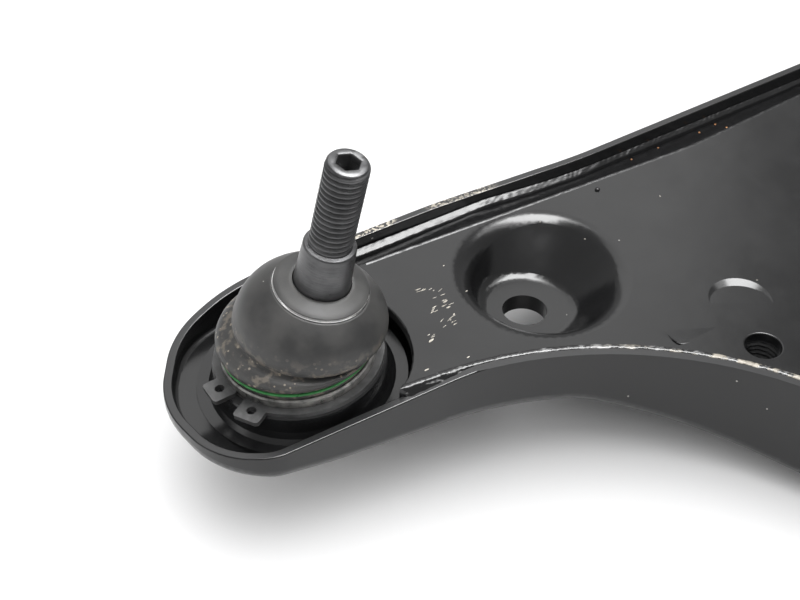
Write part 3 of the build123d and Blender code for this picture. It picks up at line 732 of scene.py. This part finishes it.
def gutter_stations():
    """Points on the plate's front edge and on the wall, along the gutter."""
    plate, wall = tree_of(NODES["upper_shell"].data), tree_of(NODES["lower_shell"].data)
    low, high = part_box("front_seam")
    probe_z = (WEB_Z - 1.0) * MM
    stations = []
    x = low.x + 0.0005
    while x < high.x - 0.0015:
        hit, _, _, _ = plate.ray_cast(Vector((x, high.y + 0.05, probe_z)), Vector((0, -1, 0)))
        if hit is not None:
            start = Vector((x, hit.y + 0.0005, probe_z))
            wall_hit, _, _, _ = wall.ray_cast(start, Vector((0, 1, 0)))
            if wall_hit is not None and wall_hit.y - hit.y < WIDEST_GUTTER_M:
                stations.append((Vector((x, hit.y - BEAD_OVERLAP_M, WEB_Z * MM)),
                                 Vector((x, wall_hit.y + BEAD_OVERLAP_M, WEB_Z * MM))))
        x += STATION_STEP_M
    return stations


def make_gutter_bead():
    """Weld in the gutter: a bright slope down from the wall, a valley, and the plate's burred edge."""
    stations = gutter_stations()

    def section(s):
        index = min(int(s / STATION_STEP), len(stations) - 1)
        near, far = stations[index]
        width = (far - near).length / MM
        at_wall = rim_height(far.x) - WEB_Z - BEAD_BELOW_RIM
        at_plate = min(-1.0, at_wall - 0.7)
        narrowed = min(max((far.x - NARROWS_FROM) / NARROWS_OVER, 0.0), 1.0)
        swell = 1.0 + 0.15 * wobble(s * 0.05, 3.1, 0.0) - NARROWS_BY * narrowed
        surface = []
        for from_wall, height in GUTTER_BEAD:
            across = min(from_wall * swell, width * 0.9)
            phase = s / 3.4 + across * 0.55 + 1.2 * wobble(s * 0.10, across * 0.2, 7.0)
            ripple = 0.07 * abs(sin(pi * phase)) + 0.10 * wobble(s * 0.35, across * 0.8, 1.0)
            depth = height * (0.95 + 0.15 * wobble(s * 0.04, 0, 9.0))
            surface.append((1.0 - across / width, at_wall + depth + ripple))
        valley = min(VALLEY_FROM_WALL * swell, width * 0.92)
        lowest = min(at_wall - 1.7, at_plate - VALLEY_RISE * (width - valley))
        for share in (0.0, 0.25, 0.5, 0.75):
            height = lowest + (at_plate - lowest) * share + 0.05 * wobble(s * 0.3, share * 3.0, 5.0)
            across = (1.0 - valley / width) * (1.0 - share) + 0.3 / width * share
            surface.append((across, height))
        surface.sort()
        lift = 0.95 + 0.35 * wobble(s * 0.3, 11.0, 2.0)
        burr = [(-back / width, height * lift) for back, height in EDGE_BURR]
        bottom = at_wall - BEAD_THICKNESS
        plate_side = [(0.0, bottom), (0.0, -0.4)] + burr + [(0.3 / width, at_plate)]
        return plate_side + surface + [(1.0, bottom)]

    return ribbon("gutter_bead", stations, section, BEAD_COAT, replaces="front_seam")


def strip_sides(node):
    """The two long sides of a flush seam's top face, as matched lists of points in metres."""
    mesh = NODES[node].data
    work = bmesh.new()
    work.from_mesh(mesh)
    bmesh.ops.remove_doubles(work, verts=work.verts, dist=1e-6)
    top = max(v.co.z for v in work.verts)
    faces = [f for f in work.faces if all(v.co.z > top - 1e-5 for v in f.verts)]
    inside = set(faces)
    edges = [e for f in faces for e in f.edges if sum(g in inside for g in e.link_faces) == 1]
    links = {}
    for e in edges:
        a, b = e.verts
        links.setdefault(a.index, []).append(b.index)
        links.setdefault(b.index, []).append(a.index)
    work.verts.ensure_lookup_table()
    start = next(iter(links))
    loop, previous, here = [start], None, start
    while True:
        options = [i for i in links[here] if i != previous]
        following = options[0]
        if following == start:
            break
        loop.append(following)
        previous, here = here, following
    points = [work.verts[i].co.copy() for i in loop]
    work.free()
    # The ends of the strip are the two loop points farthest apart.
    _, j, i = max(((p - q).length, a, b) for a, p in enumerate(points)
                  for b, q in enumerate(points[:a]))
    side_a = points[i:j + 1]
    side_b = list(reversed(points[j:] + points[:i + 1]))
    return side_a, side_b


def resample(points, count):
    """Evenly spaced points along a polyline."""
    lengths = [0.0]
    for a, b in zip(points, points[1:]):
        lengths.append(lengths[-1] + (b - a).length)
    axes = [[p[k] for p in points] for k in range(3)]
    wanted = np.linspace(0, lengths[-1], count)
    return [Vector([float(np.interp(w, lengths, axis)) for axis in axes]) for w in wanted]


FLUSH_STEP = 0.4               # millimetres from one section of a flush bead to the next
FLUSH_DEPTH = 1.2              # how far it reaches below the web


def make_flush_bead(name, node):
    """Low uneven bead over a flush seam, with small gaps and burrs along its edges."""
    side_a, side_b = strip_sides(node)
    length = sum((b - a).length for a, b in zip(side_a, side_a[1:])) / MM
    count = int(length / FLUSH_STEP)
    stations = list(zip(resample(side_a, count), resample(side_b, count)))
    if stations[count // 2][0].y < stations[count // 2][1].y:
        stations = [(b, a) for a, b in stations]

    def section(s):
        spread_a = 0.20 + 0.30 * wobble(s * 0.25, 0.0, 4.0) + 0.2 * wobble(s * 1.1, 1.0, 4.0)
        spread_b = 0.15 + 0.30 * wobble(s * 0.22, 5.0, 4.0) + 0.2 * wobble(s * 1.3, 6.0, 4.0)
        crown = 0.30 + 0.14 * wobble(s * 0.3, 2.0, 8.0) + 0.08 * abs(sin(pi * s / 1.9))
        outer = stations[min(int(s / length * (count - 1)), count - 1)][1]
        drop = max(0.0, WEB_Z - rim_height(outer.x))
        reach = min(1.1, drop * 0.7)
        return [
            (-spread_a, -0.25), (-spread_a * 0.75, 0.03), (0.05, crown * 0.72), (0.35, crown),
            (0.65, crown * 0.94), (0.95, crown * 0.66), (1 + spread_b * 0.75, 0.03),
            (1 + spread_b + reach * 0.45, -0.15 - drop * 0.45),
            (1 + spread_b + reach, -0.25 - drop),
            (0.9, -FLUSH_DEPTH - drop), (0.1, -FLUSH_DEPTH - drop),
        ]

    ribbon(name, stations, section, FLECKED_COAT, replaces=node)


# ---- nut with its thread -------------------------------------------------------------------
NUT_PITCH, NUT_MINOR_R, NUT_GROOVE = 1.75, 5.1, 0.85
NUT_GROOVE_HALF, NUT_THREAD_ROWS = 0.42, 10


def make_nut():
    """Hexagon weld nut whose hole has the screw thread."""
    low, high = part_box("weld_nut")
    centre = Vector(((low.x + high.x) / 2, (low.y + high.y) / 2, high.z))
    across = (high.y - low.y) / MM
    height = (high.z - low.z) / MM
    segments = 96
    points, rings = [], []

    def add_ring(radius_at, z):
        rings.append(len(points))
        for i in range(segments):
            angle = 2 * pi * i / segments
            r = radius_at(angle)
            points.append(centre + Vector((r * cos(angle), r * sin(angle), z)) * MM)

    def side(angle):
        return across / 2 / cos(angle % (pi / 3) - pi / 6)

    def bore(angle, z):
        phase = (z / NUT_PITCH - angle / (2 * pi)) % 1.0
        groove = max(0.0, 1.0 - abs(phase - 0.5) / NUT_GROOVE_HALF)
        return NUT_MINOR_R + NUT_GROOVE * groove

    rows = int(height / (NUT_PITCH / NUT_THREAD_ROWS))
    for k in range(rows + 1):
        z = -height * k / rows
        add_ring(lambda angle, z=z: bore(angle, z), z)
    round_off = across / 2 * 1.10
    add_ring(lambda angle: min(side(angle), round_off) - 0.4, -height)
    add_ring(lambda angle: min(side(angle), round_off + 0.4), -height + 0.9)
    add_ring(side, 0.0)
    faces = []
    for a, b in zip(rings, rings[1:] + rings[:1]):
        faces += ring_faces(a, b, segments)
    obj = mesh_object("threaded_nut", points, faces, COAT, 35)
    face_outwards(obj)
    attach(obj, "arm")
    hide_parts("weld_nut")


# ---- chips, scratches and spatter on the web -----------------------------------------------
def blob(points, faces, centre, size, seed):
    """Adds a small lumpy closed pebble to the lists."""
    work = bmesh.new()
    bmesh.ops.create_icosphere(work, subdivisions=2, radius=1.0)
    start = len(points)
    for v in work.verts:
        lump = 1.0 + 0.25 * wobble(v.co.x * 1.3 + seed, v.co.y * 1.3, v.co.z * 1.3)
        spot = Vector((v.co.x * size[0], v.co.y * size[1], v.co.z * size[2]))
        points.append(centre + spot * lump * MM)
    faces += [tuple(start + v.index for v in f.verts) for f in work.faces]
    work.free()


# Scratched patches on the web inboard of the ball joint: centre, spread along X and Y, and how many
# scratches. Then chips (x, y, length), and single bright specks.
SCRATCHES = [
    ((-307.0, -38.8), (1.5, 0.9), 6), ((-301.5, -41.8), (1.3, 1.1), 5),
    ((-306.8, -50.6), (0.8, 1.5), 5), ((-301.9, -48.6), (0.9, 1.5), 7),
    ((-304.8, -57.4), (1.2, 1.5), 9), ((-314.0, -61.0), (1.4, 0.8), 4),
]
SCRATCH_HEADING = 0.27         # radians from +X
CHIP_UNDER, CHIP_TOP, CHIP_CORNERS = -0.05, 0.02, 7
CHIPS = [(-293.3, -30.8, 0.9), (-302.0, -50.8, 1.7), (-302.0, -54.8, 1.2), (-314.8, -63.2, 2.4),
         (-292.5, -45.9, 1.0), (-307.6, -75.2, 1.3), (-322.5, -75.0, 1.8)]
WEB_SPECKS = [(-203.4, -27.6), (-250.9, -23.1), (-241.4, -38.0), (-199.3, -81.6)]
# Crease round the tip of the sunk corner near the throat.
CREASE = [(-242.6, -93.0), (-242.5, -95.2), (-242.0, -97.0), (-241.0, -98.2), (-239.5, -98.6),
          (-237.5, -98.4)]
CREASE_HALF_WIDTH, CREASE_HEIGHT = 0.35, 0.16
RUST_SPOTS = [(-198.9, -1.8), (-185.4, 0.7), (-165.4, 2.7), (-156.7, 4.8), (-154.7, 0.2)]


def flake(points, faces, centre, length, width, heading, rng):
    """Adds a thin irregular chip, a closed prism lying on the web."""
    corners = CHIP_CORNERS
    start = len(points)
    along = Vector((cos(heading), sin(heading), 0))
    across = Vector((-sin(heading), cos(heading), 0))
    reaches = [0.6 + 0.4 * rng.random() for _ in range(corners)]
    for z in (CHIP_UNDER, CHIP_TOP):
        for i in range(corners):
            angle = 2 * pi * i / corners
            offset = along * cos(angle) * length / 2 + across * sin(angle) * width / 2
            points.append(centre + (offset * reaches[i] + Vector((0, 0, z))) * MM)
    faces.append(tuple(start + i for i in reversed(range(corners))))
    faces.append(tuple(start + corners + i for i in range(corners)))
    for i in range(corners):
        j = (i + 1) % corners
        faces.append((start + i, start + j, start + corners + j, start + corners + i))


def make_web_marks(gutter_bead):
    """Chips and scratches in the coat, rust specks on the gutter bead, and drops of spatter."""
    rng = random.Random(7)
    gutter = tree_of(gutter_bead.data)
    points, faces = [], []
    for (x, y), (spread_x, spread_y), count in SCRATCHES:
        for _ in range(count):
            centre = Vector((rng.gauss(x, spread_x), rng.gauss(y, spread_y), WEB_Z)) * MM
            flake(points, faces, centre, rng.uniform(1.2, 2.8), rng.uniform(0.22, 0.38),
                  rng.gauss(SCRATCH_HEADING, 0.18), rng)
    for x, y, length in CHIPS:
        centre = Vector((x, y, WEB_Z)) * MM
        width = min(0.5 * length, 0.9)
        flake(points, faces, centre, length * 1.2, width, rng.gauss(SCRATCH_HEADING, 0.3), rng)
    for x, y in WEB_SPECKS:
        centre = Vector((x, y, WEB_Z)) * MM
        flake(points, faces, centre, rng.uniform(0.5, 1.0), 0.35, rng.uniform(0, pi), rng)
    chips = mesh_object("coat_chips", points, faces, CREAM, 30)
    face_outwards(chips)
    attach(chips, "arm")
    points, faces = [], []
    for k, (x, y) in enumerate(RUST_SPOTS):
        top = Vector((x * MM, y * MM, 0.1))
        hit, _, _, _ = gutter.ray_cast(top, Vector((0, 0, -1)))
        if hit is not None:
            blob(points, faces, hit + Vector((0, 0, 0.0001)), (0.42, 0.36, 0.22), 20.0 + k)
    rust = mesh_object("rust_specks", points, faces, RUST_SPECK, 70)
    face_outwards(rust)
    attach(rust, "arm")
    points, faces = [], []
    blob(points, faces, Vector((-222.4, -15.2, WEB_Z + 0.25)) * MM, (0.95, 0.85, 0.75), 2.0)
    blob(points, faces, Vector((-160.5, -120.0, WEB_Z + 0.1)) * MM, (0.6, 0.55, 0.45), 9.0)
    spatter = mesh_object("weld_spatter", points, faces, BEAD_COAT, 70)
    face_outwards(spatter)
    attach(spatter, "arm")


def make_crease():
    """Low sharp fold in the web, higher in its middle than at its ends."""
    path = resample([Vector((x, y, WEB_Z)) * MM for x, y in CREASE], 40)
    stations = []
    for k, point in enumerate(path):
        ahead = path[min(k + 1, len(path) - 1)] - path[max(k - 1, 0)]
        taper = sin(pi * (k + 0.5) / len(path)) ** 0.5
        side = Vector((-ahead.y, ahead.x, 0)).normalized() * CREASE_HALF_WIDTH * taper * MM
        stations.append((point - side, point + side))
    length = sum((b - a).length for a, b in zip(path, path[1:])) / MM

    def section(s):
        height = CREASE_HEIGHT * sin(pi * min(max(s / length, 0.04), 0.96))
        return [(0.0, -0.1), (0.0, 0.0), (0.35, height), (0.6, height), (1.0, 0.0), (1.0, -0.1)]

    ribbon("web_crease", stations, section, COAT, sharp_angle=25)


# ---- studio --------------------------------------------------------------------------------
# Angles are in degrees, and everything placed in the studio is in metres.
VIEW_HEADING, VIEW_ELEVATION, VIEW_ROLL = 28.0, 40.3, 2.4
CAMERA_PLACE = Vector((-0.51746, -0.42167, 0.38573))
LENS, SENSOR = 76.5, 36.0
LIGHT_TARGET = Vector((-0.28, -0.06, 0.0))
WORLD_STRENGTH = 0.40
FLOOR_HALF = 4.0
# Softboxes: name; how far their direction goes up, to the camera's right and away from it; distance,
# (width, height), radiance; whether matt surfaces see them, and whether shiny ones do.
SOFTBOXES = [
    ("sky", (1.0, 0.0, 0.0), 1.5, (4.0, 4.0), 1.0, True, False),
    ("overhead_soft", (1.0, 0.0, -0.10), 1.1, (1.3, 0.9), 1.15, True, False),
    ("overhead_glint", (1.0, 0.17, 0.06), 1.1, (0.66, 0.72), 15.0, False, True),
    ("overhead_halo", (1.0, 0.24, 0.12), 1.2, (1.15, 1.05), 3.0, False, True),
    ("left_glint", (0.35, -1.0, -0.35), 1.6, (0.30, 0.9), 1.3, False, True),
    ("left_soft", (0.35, -1.0, -0.4), 2.0, (1.5, 1.5), 1.1, True, False),
    ("back", (0.9, -sin(0.25), cos(0.25)), 3.0, (2.5, 1.9), 1.15, True, True),
]


def make_camera():
    """Camera at the measured place, heading, elevation and roll."""
    heading, elevation, roll = (radians(a) for a in (VIEW_HEADING, VIEW_ELEVATION, VIEW_ROLL))
    level = Vector((cos(heading), -sin(heading), 0))
    away = Vector((sin(heading), cos(heading), 0))
    forward = away * cos(elevation) - Vector((0, 0, sin(elevation)))
    upright = away * sin(elevation) + Vector((0, 0, cos(elevation)))
    right = level * cos(roll) + upright * sin(roll)
    up = upright * cos(roll) - level * sin(roll)
    camera = bpy.data.objects.new("camera", bpy.data.cameras.new("camera"))
    bpy.context.scene.collection.objects.link(camera)
    rotation = Matrix((right, up, -forward)).transposed()
    camera.matrix_world = Matrix.Translation(CAMERA_PLACE) @ rotation.to_4x4()
    camera.data.lens = LENS
    camera.data.sensor_width = SENSOR
    camera.data.clip_start = 0.02
    bpy.context.scene.camera = camera


def area_light(name, direction, distance, size, radiance, soft, glint):
    """Softbox that faces the target, its width level, seen by matt surfaces, shiny ones or both."""
    heading = radians(VIEW_HEADING)
    level = Vector((cos(heading), -sin(heading), 0))
    data = bpy.data.lights.new(name, "AREA")
    data.shape = "RECTANGLE"
    data.size, data.size_y = size
    data.energy = radiance * pi * size[0] * size[1]
    light = bpy.data.objects.new(name, data)
    light.visible_diffuse, light.visible_glossy = soft, glint
    bpy.context.scene.collection.objects.link(light)
    back = direction.normalized()
    across = (level - back * level.dot(back)).normalized()
    turn = Matrix((across, back.cross(across), back)).transposed()
    light.matrix_world = Matrix.Translation(LIGHT_TARGET + back * distance) @ turn.to_4x4()


def make_floor():
    """Pale floor at the arm's lowest point."""
    graph = Graph("studio_floor")
    tone = graph.noise(3.0, 1.0)
    colour = graph.mix(tone, (0.90, 0.90, 0.905), (0.93, 0.93, 0.93))
    material = graph.finish(colour, 0.42, Specular_IOR_Level=0.35)
    corners = ((-1, -1), (1, -1), (1, 1), (-1, 1))
    points = [(x * FLOOR_HALF, y * FLOOR_HALF, FLOOR_Z_M) for x, y in corners]
    floor = mesh_object("floor", points, [(0, 1, 2, 3)], material)


def make_studio():
    """Floor, softboxes and an even white surround."""
    make_floor()
    heading = radians(VIEW_HEADING)
    away = Vector((sin(heading), cos(heading), 0))
    right = Vector((cos(heading), -sin(heading), 0))
    for name, (up, to_right, to_away), *rest in SOFTBOXES:
        area_light(name, Vector((0, 0, up)) + right * to_right + away * to_away, *rest)
    world = bpy.data.worlds.new("studio")
    world.use_nodes = True
    background = world.node_tree.nodes["Background"]
    background.inputs["Color"].default_value = (1.0, 1.0, 1.0, 1.0)
    background.inputs["Strength"].default_value = WORLD_STRENGTH
    bpy.context.scene.world = world
    bpy.context.scene.view_settings.view_transform = "Standard"


make_stud()
make_boot()
make_rings()
gutter_bead = make_gutter_bead()
make_flush_bead("rear_bead", "rear_seam")
make_flush_bead("inner_bead", "inner_seam")
make_nut()
make_web_marks(gutter_bead)
make_crease()
make_camera()
make_studio()
